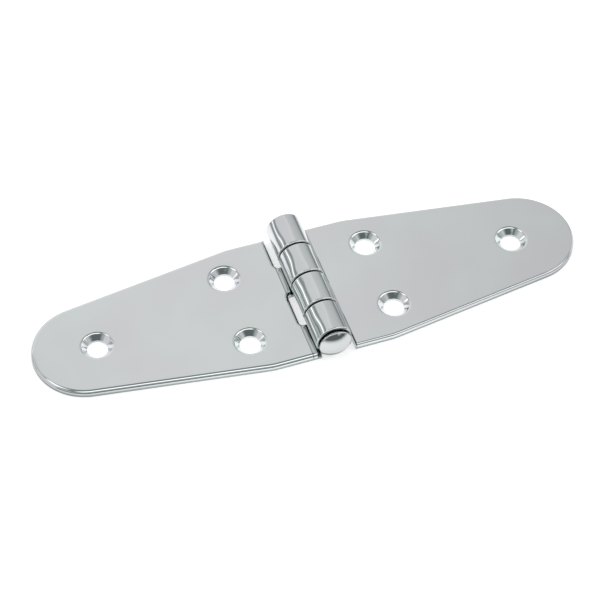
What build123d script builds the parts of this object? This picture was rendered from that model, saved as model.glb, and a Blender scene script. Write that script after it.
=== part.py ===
from build123d import *
import os
from math import asin, degrees, sqrt

# Strap hinge of polished sheet steel: two tapered leaves with rolled eyes, turning on one headed pin.
# Sizes are in millimetres. X runs along the leaves, Y along the pin, Z up from the flat undersides.
# The origin lies in the plane of the undersides, straight below the middle of the pin.

# Leaves
leaf_reach = 70.0  # pin axis to the tip of a leaf
leaf_width = 39.0
sheet = 2.0  # thickness of the sheet, in the leaf and in the eye
straight_reach = 15.5  # pin axis to where the taper starts
bend_radius = 15.0  # rounds the corner at the start of the taper
tip_radius = 13.4
left_edge_round = 1.05  # upper edges, rolled over by stamping and then more or less by polishing
right_edge_round = 0.65
lower_edge_round = 0.45  # and the outer edges of the eyes

# Screw holes, countersunk from above
hole_diameter = 5.2
sink_diameter = 8.0
sink_angle = 90.0
sink_edge_round = 0.8
tip_hole_reach = 54.0
root_hole_reach = 18.6
root_hole_spacing = 20.6

# Eyes
knuckle_count = 4
knuckle_gap = 0.35  # end play between neighbouring eyes
notch_clearance = 0.75  # from an eye to the leaf that it passes
notch_corner_radius = 0.9
seam_gap = 0.6  # from the rolled end to the top of the leaf
rear_overhang = 0.6  # how far the rear eye stands past the edge of its leaf

# Pin
pin_diameter = 5.0
pin_clearance = 0.05  # radial, from the pin to the eyes
head_diameter = 8.2
head_rim = 0.5  # flush with the front edges of the leaves
head_crown = 1.6  # height of the dome
head_rim_round = 0.3
head_gap = 0.55  # from the head to the front eye
head_lap = 0.7  # how far the leaf beside it runs in below the head
tail_ease = 0.05  # what the spread tail clears beyond pin_clearance
tail_crown = 0.15

# What follows from them
bore_radius = pin_diameter / 2 + pin_clearance
eye_radius = bore_radius + sheet
pin_height = eye_radius  # the eyes are flush with the undersides
notch_reach = eye_radius + notch_clearance
three_quarter_turn = 270.0  # brings the rolled end level with the pin, on the leaf's own side
rolled_angle = three_quarter_turn + degrees(asin((pin_height - sheet - seam_gap) / eye_radius))

head_reach = head_diameter / 2 - head_lap
leaf_rear = leaf_width / 2
barrel_rear = leaf_rear + rear_overhang
barrel_front = head_gap + head_rim - leaf_width / 2  # the eyes leave room for the head
knuckle_length = (leaf_rear - barrel_front - (knuckle_count - 1) * knuckle_gap) / knuckle_count
knuckle_middles = [
    leaf_rear - knuckle_length / 2 - place * (knuckle_length + knuckle_gap)
    for place in range(knuckle_count)
]
tolerance = 0.001  # for picking edges and corners by their place


# side is 1 for the leaf towards +X and -1 for the one towards -X. middles gives its eyes along the pin.
def roll_leaf(side, middles, upper_edge_round):
    outwards = Align.MIN if side > 0 else Align.MAX
    with BuildPart() as leaf:
        # The flat blank, with a tongue for each eye that ends below the pin
        with BuildSketch() as blank:
            with Locations((side * (leaf_reach - tip_radius), 0)):
                Circle(tip_radius)
            with Locations((side * notch_reach, 0)):
                Rectangle(straight_reach - notch_reach, leaf_width, align=(outwards, Align.CENTER))
            make_hull()
            bends = blank.vertices().filter_by(lambda v: abs(abs(v.X) - straight_reach) < tolerance)
            fillet(bends, bend_radius)
            with Locations(*[(0, middle) for middle in middles]):
                Rectangle(notch_reach, knuckle_length, align=(outwards, Align.CENTER))
            if knuckle_middles[0] in middles:  # the rear eye's tongue widens past the edge of the leaf
                root = (side * notch_reach, leaf_rear)
                Polygon(root, (0, leaf_rear), (0, barrel_rear), (side * bore_radius, barrel_rear), align=None)
            if knuckle_middles[-1] in middles:  # the leaf with the front eye runs on below the head
                with Locations((side * head_reach, -leaf_width / 2)):
                    shoulder = barrel_front + leaf_width / 2 + knuckle_length / 2
                    Rectangle(notch_reach - head_reach, shoulder, align=(outwards, Align.MIN))
            roots = blank.vertices().filter_by(lambda v: abs(abs(v.X) - notch_reach) < tolerance)
            fillet(roots.filter_by(lambda v: abs(v.Y) < -barrel_front - tolerance), notch_corner_radius)
        extrude(amount=sheet)

        # Rounded edges all round, save where the tongues go on into the eyes
        for height, radius in ((sheet, upper_edge_round), (0, lower_edge_round)):
            rim = leaf.edges().filter_by_position(Axis.Z, height - tolerance, height + tolerance)
            fillet(rim.filter_by(lambda e: abs(e.center().X) > tolerance), radius)

        # Each tongue rolled round the pin until its end comes down on the leaf
        tongue_ends = leaf.faces().filter_by_position(Axis.X, -tolerance, tolerance)
        revolve(tongue_ends, Axis((0, 0, pin_height), (0, side, 0)), rolled_angle)

        # Screw holes: one near the tip and a pair beside the eyes
        with Locations(
            (side * tip_hole_reach, 0, sheet),
            (side * root_hole_reach, root_hole_spacing / 2, sheet),
            (side * root_hole_reach, -root_hole_spacing / 2, sheet),
        ):
            CounterSinkHole(hole_diameter / 2, sink_diameter / 2, counter_sink_angle=sink_angle)
        sink_edges = leaf.edges().filter_by(GeomType.CIRCLE)
        sink_edges = sink_edges.filter_by_position(Axis.Z, sheet - tolerance, sheet + tolerance)
        sink_edges = sink_edges.filter_by(lambda e: abs(e.radius - sink_diameter / 2) < tolerance)
        fillet(sink_edges, sink_edge_round)
    return leaf


left_leaf = roll_leaf(-1, knuckle_middles[1::2], left_edge_round)
right_leaf = roll_leaf(1, knuckle_middles[0::2], right_edge_round)

# The pin has a domed head at the front, and its tail is spread into the rounded mouth of the rear eye.
# The half profile is drawn beside the axis, with the radius along X and the pin along Y.
pin_radius = pin_diameter / 2
head_radius = head_diameter / 2
head_back = barrel_front - head_gap
head_face = head_back - head_rim
tail_face = barrel_rear - tail_crown
mouth_middle = (bore_radius + right_edge_round, barrel_rear - right_edge_round)
spread_radius = right_edge_round + pin_clearance + tail_ease
spread_start = mouth_middle[1] + sqrt(spread_radius**2 - (mouth_middle[0] - pin_radius) ** 2)
tail_radius = mouth_middle[0] - sqrt(spread_radius**2 - (tail_face - mouth_middle[1]) ** 2)

with BuildPart() as hinge_pin:
    with BuildSketch(Plane.XY.offset(pin_height)) as half:
        with BuildLine():
            TangentArc((0, head_face - head_crown), (head_radius, head_face), tangent=(1, 0))
            Polyline(
                (head_radius, head_face),
                (head_radius, head_back),
                (pin_radius, head_back),
                (pin_radius, spread_start),
            )
            RadiusArc((pin_radius, spread_start), (tail_radius, tail_face), spread_radius)
            TangentArc((0, barrel_rear), (tail_radius, tail_face), tangent=(1, 0))
            Line((0, barrel_rear), (0, head_face - head_crown))
        make_face()
        fillet(half.vertices().group_by(Axis.X)[-1], head_rim_round)
    revolve(axis=Axis((0, 0, pin_height), (0, 1, 0)))

os.makedirs("parts", exist_ok=True)
for name, piece in (("left_leaf", left_leaf), ("right_leaf", right_leaf), ("hinge_pin", hinge_pin)):
    piece.part.label = name
    export_step(piece.part, f"parts/{name}.step")
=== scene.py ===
import math

import bpy
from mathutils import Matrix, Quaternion, Vector


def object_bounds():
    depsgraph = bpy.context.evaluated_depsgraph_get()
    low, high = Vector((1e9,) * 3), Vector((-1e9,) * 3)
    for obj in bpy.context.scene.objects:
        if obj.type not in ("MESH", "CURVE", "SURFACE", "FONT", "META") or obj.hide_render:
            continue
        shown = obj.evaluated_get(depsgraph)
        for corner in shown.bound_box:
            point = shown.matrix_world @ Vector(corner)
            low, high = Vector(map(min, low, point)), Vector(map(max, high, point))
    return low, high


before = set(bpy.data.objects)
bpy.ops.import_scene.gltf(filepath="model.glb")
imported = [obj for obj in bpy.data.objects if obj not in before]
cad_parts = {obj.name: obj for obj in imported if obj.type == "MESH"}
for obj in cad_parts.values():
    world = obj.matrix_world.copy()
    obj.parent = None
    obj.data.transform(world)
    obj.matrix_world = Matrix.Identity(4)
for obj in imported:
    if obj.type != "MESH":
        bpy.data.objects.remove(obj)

# Mirror-polished strap hinge on a white table, seen from above its front left.
cadLow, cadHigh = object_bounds()
millimetre = 0.001
print("frame loaded:", ", ".join(sorted(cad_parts)))


def linearColour(hexText):
    parts = [int(hexText[i:i + 2], 16) / 255 for i in (1, 3, 5)]
    return [p / 12.92 if p <= 0.04045 else ((p + 0.055) / 1.055) ** 2.4 for p in parts] + [1.0]


# inputs holds socket: value, where a node stands for its first output and (node, output) for a named one
def addNode(tree, kind, inputs=None, **settings):
    node = tree.nodes.new(kind)
    for name, value in settings.items():
        setattr(node, name, value)
    for socket, value in (inputs or {}).items():
        if isinstance(value, bpy.types.Node):
            value = (value, 0)
        if isinstance(value, tuple) and isinstance(value[0], bpy.types.Node):
            tree.links.new(value[0].outputs[value[1]], node.inputs[socket])
        else:
            node.inputs[socket].default_value = value
    return node


# A Mix node has sockets for each kind of data under the same names, and these are its colour sockets
mixFirst, mixSecond, mixedColour = 6, 7, 2


def emptyTree(owner):
    owner.use_nodes = True
    owner.node_tree.nodes.clear()
    return owner.node_tree


# Stainless sheet, stamped, rolled into eyes and buffed to a mirror: a cool grey that shows the studio.
# Rolling leaves the eyes wavy and buffing rolls their front ends over. The sheared edges and the back
# stay dull. All lengths are in mm.
sheetLook = {
    "colour": "#DEE4E3",
    "hazeColour": "#DDDEE1",
    "haze": 20.0,  # across a wiped patch
    "hazeSpread": (0.35, 0.65),  # levels of the noise that are clear and fully hazy
    "roughness": (0.04, 0.09),  # clear and hazy
    "buffLine": 0.25,  # across one buffing line, coarser than the real ones so that it shows
    "buffLength": 9.0,  # along it
    "buffDepth": 0.0004,
    "ripple": 9.0,  # from crest to crest on the leaf
    "rippleDepth": 0.012,
    "pinHeight": 4.55,
    "eye": (5.2, 4.7),  # from the pin's axis, where the waves start and where they are full
    "firstGap": 10.1,  # along the pin, the middle of the rear gap between two eyes
    "eyePitch": 9.575,
    "rearEnd": 19.2,  # along the pin, past which all counts as the rear eye
    "wave": 5.5,  # from crest to crest on an eye
    "waveDepth": 0.6,
    "waveSide": (1.0, -2.0),  # across the hinge, where the waves start and where they are full
    "calm": 0.15,  # share of them on the other side
    "endShare": 0.2,  # part of an eye's length that is rolled over
    "endDepth": 0.04,
    "edgeHeight": (1.15, 0.85),  # where the sheared edge starts and where it is fully dull
    "backHeight": (0.10, 0.03),  # the same for the back
    "holes": ((54.0, 0.0, 0.0), (18.6, 10.3, 0.0)),  # whose walls are polished, one of each kind
    "holeReach": (4.4, 4.8),  # from their middles, where the polish starts to fade and where it ends
    "edgeColour": "#A9AEAF",
    "edgeRoughness": 0.35,
    "backColour": "#C8CCCD",
    "eyeFootShade": (5.25, 5.75),  # from the pin's axis, a band beside the foot of the eyes that is painted darker as shade
    # colour of the painted shade beside the foot of the eyes
    "eyeFootShadeColour": "#8F9696",
    "seamSide": (4.6, 4.3),  # sideways, where the painted shade in a seam starts and where it is darkest
    "seamTop": (2.85, 2.55),  # the same, up from the back
    "gap": (0.37, 0.12),  # the same, from the middle of the gap between two eyes
    # colour of the painted shade in the seams and between the eyes
    "seamAndGapShadeColour": "#465050",
}


def mirrorStainless(name, look, lineAxis):
    material = bpy.data.materials.new(name)
    tree = emptyTree(material)
    place = (addNode(tree, "ShaderNodeTexCoord"), "Object")
    inMillimetres = addNode(tree, "ShaderNodeVectorMath", {0: place, "Scale": 1 / millimetre},
                            operation="SCALE")
    axes = addNode(tree, "ShaderNodeSeparateXYZ", {0: inMillimetres})

    # Which eye a point is on, and how far it is from the front end of that eye
    along = addNode(tree, "ShaderNodeMath", {0: (axes, "Y"), 1: look["rearEnd"]}, operation="MINIMUM")
    eyes = addNode(tree, "ShaderNodeMapRange", {
        "Value": along, "From Min": look["firstGap"], "From Max": look["firstGap"] + look["eyePitch"],
    }, clamp=False)
    eyeNumber = addNode(tree, "ShaderNodeMath", {0: eyes}, operation="FLOOR")
    eyeShare = addNode(tree, "ShaderNodeMath", {0: eyes}, operation="FRACT")
    fromAxis = addNode(tree, "ShaderNodeVectorMath", {0: inMillimetres, 1: (0, 0, look["pinHeight"])},
                       operation="SUBTRACT")
    acrossPin = addNode(tree, "ShaderNodeVectorMath", {0: fromAxis, 1: (1, 0, 1)}, operation="MULTIPLY")
    fromPin = addNode(tree, "ShaderNodeVectorMath", {0: acrossPin}, operation="LENGTH")
    onEye = addNode(tree, "ShaderNodeMapRange", {
        "Value": (fromPin, "Value"), "From Min": look["eye"][0], "From Max": look["eye"][1]})
    endTurn = addNode(tree, "ShaderNodeMapRange", {
        "Value": eyeShare, "From Min": look["endShare"], "From Max": 0.0,
        "To Max": math.sqrt(look["endDepth"])})
    endDrop = addNode(tree, "ShaderNodeMath", {0: endTurn, 1: endTurn}, operation="MULTIPLY")

    # Heights in mm, one on top of the other
    lineScale = [1 / look["buffLine"]] * 3
    lineScale[lineAxis] = 1 / look["buffLength"]
    stretched = addNode(tree, "ShaderNodeVectorMath", {0: inMillimetres, 1: lineScale},
                        operation="MULTIPLY")
    lines = addNode(tree, "ShaderNodeTexNoise", {"Vector": stretched, "Scale": 1.0, "Detail": 3.0})
    ripple = addNode(tree, "ShaderNodeTexNoise", {
        "Vector": inMillimetres, "Scale": 1 / look["ripple"], "Detail": 1.0})
    wave = addNode(tree, "ShaderNodeTexNoise", {
        "Vector": inMillimetres, "W": eyeNumber, "Scale": 1 / look["wave"], "Detail": 0.0,
    }, noise_dimensions="4D")
    waveHeight = addNode(tree, "ShaderNodeMapRange", {
        "Value": wave, "To Min": -look["waveDepth"] / 2, "To Max": look["waveDepth"] / 2}, clamp=False)
    wavy = addNode(tree, "ShaderNodeMapRange", {
        "Value": (axes, "X"), "From Min": look["waveSide"][0], "From Max": look["waveSide"][1],
        "To Min": look["calm"]}, interpolation_type="SMOOTHSTEP")
    eyeHeight = addNode(tree, "ShaderNodeMath", {0: waveHeight, 1: wavy}, operation="MULTIPLY")
    eyeHeight = addNode(tree, "ShaderNodeMath", {0: eyeHeight, 1: endDrop}, operation="SUBTRACT")
    height = addNode(tree, "ShaderNodeMath", {0: eyeHeight, 1: onEye}, operation="MULTIPLY")
    for pattern, depth in ((ripple, look["rippleDepth"]), (lines, look["buffDepth"])):
        height = addNode(tree, "ShaderNodeMath", {0: pattern, 1: depth, 2: height},
                         operation="MULTIPLY_ADD")
    bump = addNode(tree, "ShaderNodeBump", {"Height": height, "Strength": 1.0, "Distance": millimetre})

    # Haze on the polish, and the dull edges and back, save for the walls of the holes
    patches = addNode(tree, "ShaderNodeTexNoise", {
        "Vector": inMillimetres, "Scale": 1 / look["haze"], "Detail": 2.0})
    haze = addNode(tree, "ShaderNodeMapRange", {
        "Value": patches, "From Min": look["hazeSpread"][0], "From Max": look["hazeSpread"][1]})
    smooth, dull = look["roughness"]
    roughness = addNode(tree, "ShaderNodeMapRange", {"Value": haze, "To Min": smooth, "To Max": dull})
    edge = addNode(tree, "ShaderNodeMapRange", {
        "Value": (axes, "Z"), "From Min": look["edgeHeight"][0], "From Max": look["edgeHeight"][1]})
    back = addNode(tree, "ShaderNodeMapRange", {
        "Value": (axes, "Z"), "From Min": look["backHeight"][0], "From Max": look["backHeight"][1]})
    folded = addNode(tree, "ShaderNodeVectorMath", {0: inMillimetres}, operation="ABSOLUTE")
    flat = addNode(tree, "ShaderNodeVectorMath", {0: folded, 1: (1, 1, 0)}, operation="MULTIPLY")
    nearRim, farRim = look["holeReach"]
    for hole in look["holes"]:
        fromHole = addNode(tree, "ShaderNodeVectorMath", {0: flat, 1: hole}, operation="DISTANCE")
        outside = addNode(tree, "ShaderNodeMapRange", {
            "Value": (fromHole, "Value"), "From Min": nearRim, "From Max": farRim})
        unpolished = addNode(tree, "ShaderNodeMath", {0: outside, 1: back}, operation="MAXIMUM")
        edge = addNode(tree, "ShaderNodeMath", {0: edge, 1: unpolished}, operation="MULTIPLY")
    roughness = addNode(tree, "ShaderNodeMath", {0: edge, 1: look["edgeRoughness"], 2: roughness},
                        operation="MULTIPLY_ADD")

    # Painted shade: a dark band beside the foot of the eyes, and darkening in the seams and next to the
    # gaps between the eyes
    inner, outer = look["eyeFootShade"]
    sideways = addNode(tree, "ShaderNodeMath", {0: (axes, "X")}, operation="ABSOLUTE")
    fromEyeFootShade = addNode(tree, "ShaderNodeMath", {0: sideways, 1: (inner + outer) / 2},
                       operation="SUBTRACT")
    fromEyeFootShade = addNode(tree, "ShaderNodeMath", {0: fromEyeFootShade}, operation="ABSOLUTE")
    eyeFootShade = addNode(tree, "ShaderNodeMapRange", {
        "Value": fromEyeFootShade, "From Min": (outer - inner) / 2, "From Max": 0.0,
    }, interpolation_type="SMOOTHSTEP")
    seamSide = addNode(tree, "ShaderNodeMapRange", {
        "Value": sideways, "From Min": look["seamSide"][0], "From Max": look["seamSide"][1]})
    seamTop = addNode(tree, "ShaderNodeMapRange", {
        "Value": (axes, "Z"), "From Min": look["seamTop"][0], "From Max": look["seamTop"][1]})
    seam = addNode(tree, "ShaderNodeMath", {0: seamSide, 1: seamTop}, operation="MULTIPLY")
    halfEye = 0.5  # of the pitch, so that the distance counts from the nearest gap
    fromGap = addNode(tree, "ShaderNodeMath", {0: eyes, 1: halfEye}, operation="PINGPONG")
    gapStart, gapFull = [distance / look["eyePitch"] for distance in look["gap"]]
    gap = addNode(tree, "ShaderNodeMapRange", {
        "Value": fromGap, "From Min": gapStart, "From Max": gapFull})
    gap = addNode(tree, "ShaderNodeMath", {0: gap, 1: onEye}, operation="MULTIPLY")
    # painted shade: darker in the seams and next to the gaps between the eyes
    seamAndGapShade = addNode(tree, "ShaderNodeMath", {0: seam, 1: gap}, operation="MAXIMUM")

    # Colours, each laid over the ones before it
    tint = linearColour(look["colour"])
    layers = (
        (haze, "hazeColour"), (eyeFootShade, "eyeFootShadeColour"), (seamAndGapShade, "seamAndGapShadeColour"), (edge, "edgeColour"),
        (back, "backColour"))
    for share, colour in layers:
        mixed = addNode(tree, "ShaderNodeMix", {
            0: share, mixFirst: tint, mixSecond: linearColour(look[colour])}, data_type="RGBA")
        tint = (mixed, mixedColour)
    steel = addNode(tree, "ShaderNodeBsdfPrincipled", {
        "Base Color": tint, "Metallic": 1.0, "Roughness": roughness, "Normal": bump})
    addNode(tree, "ShaderNodeOutputMaterial", {"Surface": steel})
    return material


# The pin is turned from bar, with shorter buffing lines and shallower waves; its colours are a little
# darker, as painted shade for the face of its head
pinLook = dict(sheetLook, colour="#D2D4D4", hazeColour="#C6C9C9", buffLength=4.0, waveDepth=0.12)
alongX, alongY = 0, 1
buffedSheet = mirrorStainless("buffedStainlessSheet", sheetLook, alongX)
turnedPin = mirrorStainless("turnedStainlessPin", pinLook, alongY)
finishes = {"left_leaf": buffedSheet, "right_leaf": buffedSheet, "hinge_pin": turnedPin}
for nodeName, finish in finishes.items():
    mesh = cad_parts[nodeName].data
    mesh.materials.clear()
    mesh.materials.append(finish)
print("steel finished")

# White table that goes on out of sight
table = {
    "size": 4.0,  # m
    "drop": 0.02,  # mm below the leaves, so that the two don't share a plane
    "colour": "#F2F2F2",
    "glow": 0.57,
    "litNear": 22.0,  # mm from the hinge, where the table starts to darken, though not to the camera
    "litFar": 110.0,  # mm from the hinge, where it is darkest
    "litLeft": 0.42,  # share of the light that is left there
}


def whiteTable():
    half = table["size"] / 2
    level = cadLow.z - table["drop"] * millimetre
    corners = [(-half, -half, level), (half, -half, level), (half, half, level), (-half, half, level)]
    mesh = bpy.data.meshes.new("tableTop")
    mesh.from_pydata(corners, [], [(0, 1, 2, 3)])
    top = bpy.data.objects.new("tableTop", mesh)
    bpy.context.scene.collection.objects.link(top)
    material = bpy.data.materials.new("whitePaper")
    tree = emptyTree(material)

    # The glow shows to the camera and in the steel, and lights nothing else
    path = addNode(tree, "ShaderNodeLightPath")
    seen = (path, "Is Camera Ray")
    for ray in ("Is Glossy Ray", "Is Transmission Ray"):
        seen = addNode(tree, "ShaderNodeMath", {0: seen, 1: (path, ray)}, operation="MAXIMUM")
    place = (addNode(tree, "ShaderNodeTexCoord"), "Object")
    fromHinge = addNode(tree, "ShaderNodeVectorMath", {0: place}, operation="LENGTH")
    lit = addNode(tree, "ShaderNodeMapRange", {
        "Value": (fromHinge, "Value"),
        "From Min": table["litNear"] * millimetre, "From Max": table["litFar"] * millimetre,
        "To Min": 1.0, "To Max": table["litLeft"]}, interpolation_type="SMOOTHSTEP")
    lit = addNode(tree, "ShaderNodeMath", {0: lit, 1: (path, "Is Camera Ray")}, operation="MAXIMUM")
    strength = addNode(tree, "ShaderNodeMath", {0: seen, 1: table["glow"]}, operation="MULTIPLY")
    strength = addNode(tree, "ShaderNodeMath", {0: strength, 1: lit}, operation="MULTIPLY")
    glow = addNode(tree, "ShaderNodeEmission", {"Strength": strength})
    shade = addNode(tree, "ShaderNodeVectorMath", {0: linearColour(table["colour"])[:3], "Scale": lit},
                    operation="SCALE")
    paper = addNode(tree, "ShaderNodeBsdfDiffuse", {"Color": shade})
    both = addNode(tree, "ShaderNodeAddShader", {0: glow, 1: paper})
    addNode(tree, "ShaderNodeOutputMaterial", {"Surface": both})
    mesh.materials.append(material)


whiteTable()
print("table laid")

# The studio: a pale tent behind and above the hinge, in a dark room with lamps and fills.
# Directions are unit vectors, and pitch is the angle in degrees from straight up towards the front.
# The tent's levels go by Z and X. Each patch fades in from the first to the second place on an axis.
studio = {
    "tent": {
        "Z": ((0.0, 0.16), (0.07, 0.40), (0.21, 0.70), (0.45, 0.88), (0.62, 0.90), (0.80, 0.86)),
        "X": (
            (-0.60, 0.84), (-0.25, 0.88), (0.05, 0.91), (0.14, 0.95),
            (0.22, 0.92), (0.34, 0.78), (0.55, 0.71), (0.80, 0.70)),
    },
    "patches": {
        "stripOnTent": {"level": 1.1, "mix": "ADD", "fades": (
            ("Z", 0.28, 0.31), ("Z", 0.38, 0.35), ("X", -0.40, -0.58))},
        "shadeAboveStrip": {"level": -0.42, "mix": "ADD", "fades": (
            ("Z", 0.43, 0.49), ("Z", 0.67, 0.61), ("X", -0.40, -0.58))},
        "tentFrontEdge": {"level": 1.0, "mix": "MULTIPLY", "fades": (("Y", 0.18, 0.42),)},
        "rearWall": {"level": 0.9, "mix": "MAXIMUM", "fades": (("Y", 0.66, 0.80),)},
        "ceiling": {"level": 0.27, "mix": "MAXIMUM", "fades": (
            ("pitch", 30.0, 20.0), ("Z", 0.0, 0.20))},
        "longLampOverCamera": {"level": 1.6, "mix": "MAXIMUM", "fades": (
            ("pitch", 17.0, 23.0), ("pitch", 50.0, 38.0), ("X", -0.55, -0.25), ("X", 0.75, 0.52))},
        "lampHighOnLeft": {"level": 1.5, "mix": "MAXIMUM", "fades": (
            ("pitch", -22.0, -14.0), ("pitch", 16.0, 8.0), ("X", -0.32, -0.42), ("X", -0.80, -0.70))},
        "stripOnRight": {"level": 1.2, "mix": "MAXIMUM", "fades": (
            ("X", 0.82, 0.88), ("Y", 0.52, 0.45), ("Y", -0.30, 0.20),
            ("Z", -0.04, 0.04), ("Z", 0.50, 0.42))},
        "lampOnRight": {"level": 1.6, "mix": "MAXIMUM", "fades": (
            ("X", 0.42, 0.52), ("Y", -0.02, -0.12), ("Y", -0.45, -0.36), ("Z", 0.38, 0.46))},
        "lampOnLeft": {"level": 0.8, "mix": "MAXIMUM", "fades": (
            ("X", -0.70, -0.84), ("Y", -0.40, -0.25), ("Y", 0.45, 0.35), ("Z", -0.05, 0.05))},
        "lowFrontRight": {"level": 0.8, "mix": "MAXIMUM", "fades": (
            ("pitch", 55.0, 61.0), ("X", 0.25, 0.42), ("X", 0.62, 0.52), ("Z", 0.20, 0.34))},
        "rightFill": {"level": 0.55, "mix": "MAXIMUM", "fades": (
            ("X", 0.10, 0.70), ("Y", 0.45, 0.35), ("Z", 0.12, 0.32))},
        "leftFill": {"level": 0.55, "mix": "MAXIMUM", "fades": (
            ("X", -0.35, -0.80), ("Y", 0.45, 0.35), ("Z", 0.12, 0.32))},
        "windowInFront": {"level": 0.70, "mix": "MAXIMUM", "fades": (
            ("Y", -0.30, -0.50), ("Z", 0.33, 0.46), ("Z", 0.60, 0.50))},
    },
    "room": 0.16,
    "roomColour": "#E6FFFD",  # the dimmer the light, the nearer to this
    "lampColour": "#FFFFFF",
    "lampLevel": 0.7,  # from which on the light has the lamps' colour
}


def studioLight():
    world = bpy.data.worlds.new("studio")
    bpy.context.scene.world = world
    tree = emptyTree(world)
    place = (addNode(tree, "ShaderNodeTexCoord"), "Generated")
    axes = addNode(tree, "ShaderNodeSeparateXYZ", {0: place})
    forwards = addNode(tree, "ShaderNodeMath", {0: (axes, "Y"), 1: -1.0}, operation="MULTIPLY")
    pitch = addNode(tree, "ShaderNodeMath", {0: forwards, 1: (axes, "Z")}, operation="ARCTAN2")
    degrees = addNode(tree, "ShaderNodeMath", {0: pitch}, operation="DEGREES")
    sources = {"X": (axes, "X"), "Y": (axes, "Y"), "Z": (axes, "Z"), "pitch": degrees}

    light = 1.0
    for axis, steps in studio["tent"].items():
        share = addNode(tree, "ShaderNodeMapRange", {
            "Value": sources[axis], "From Min": -1.0, "From Max": 1.0})
        levels = addNode(tree, "ShaderNodeValToRGB", {"Fac": share})
        stops = levels.color_ramp.elements
        while len(stops) < len(steps):
            stops.new(1.0)
        for stop, (where, level) in zip(stops, steps):
            stop.position = (where + 1) / 2
            stop.color = (level, level, level, 1)
        light = addNode(tree, "ShaderNodeMath", {0: light, 1: levels}, operation="MULTIPLY")
    for patch in studio["patches"].values():
        part = patch["level"]
        for axis, start, end in patch["fades"]:
            fade = addNode(tree, "ShaderNodeMapRange", {
                "Value": sources[axis], "From Min": start, "From Max": end,
            }, interpolation_type="SMOOTHSTEP")
            part = addNode(tree, "ShaderNodeMath", {0: part, 1: fade}, operation="MULTIPLY")
        light = addNode(tree, "ShaderNodeMath", {0: light, 1: part}, operation=patch["mix"])
    path = addNode(tree, "ShaderNodeLightPath")
    for least in (studio["room"], (path, "Is Camera Ray")):
        light = addNode(tree, "ShaderNodeMath", {0: light, 1: least}, operation="MAXIMUM")
    bright = addNode(tree, "ShaderNodeMapRange", {"Value": light, "From Max": studio["lampLevel"]})
    tint = addNode(tree, "ShaderNodeMix", {
        0: bright, mixFirst: linearColour(studio["roomColour"]),
        mixSecond: linearColour(studio["lampColour"])}, data_type="RGBA")
    background = addNode(tree, "ShaderNodeBackground", {"Color": (tint, mixedColour), "Strength": light})
    addNode(tree, "ShaderNodeOutputWorld", {"Surface": background})


studioLight()
print("studio lit")

camera = {
    "target": (-2.45, -0.51, 0.0),  # mm
    "distance": 507.2,  # mm
    "azimuth": -20.17,  # degrees, as are the next two
    "elevation": 50.92,
    "roll": 1.43,
    "lens": 123.27,  # mm
    "sensor": 36.0,  # mm
    "clip": (0.01, 20.0),  # m
}


def placeCamera():
    data = bpy.data.cameras.new("camera")
    data.lens = camera["lens"]
    data.sensor_width = camera["sensor"]
    data.clip_start, data.clip_end = camera["clip"]
    azimuth, elevation = math.radians(camera["azimuth"]), math.radians(camera["elevation"])
    back = Vector((math.sin(azimuth) * math.cos(elevation), -math.cos(azimuth) * math.cos(elevation),
                   math.sin(elevation)))
    eye = bpy.data.objects.new("camera", data)
    bpy.context.scene.collection.objects.link(eye)
    eye.location = (Vector(camera["target"]) + back * camera["distance"]) * millimetre
    eye.rotation_mode = "QUATERNION"
    level = (-back).to_track_quat("-Z", "Y")
    eye.rotation_quaternion = level @ Quaternion((0, 0, 1), math.radians(camera["roll"]))
    bpy.context.scene.camera = eye


placeCamera()
bpy.context.scene.view_settings.view_transform = "Standard"
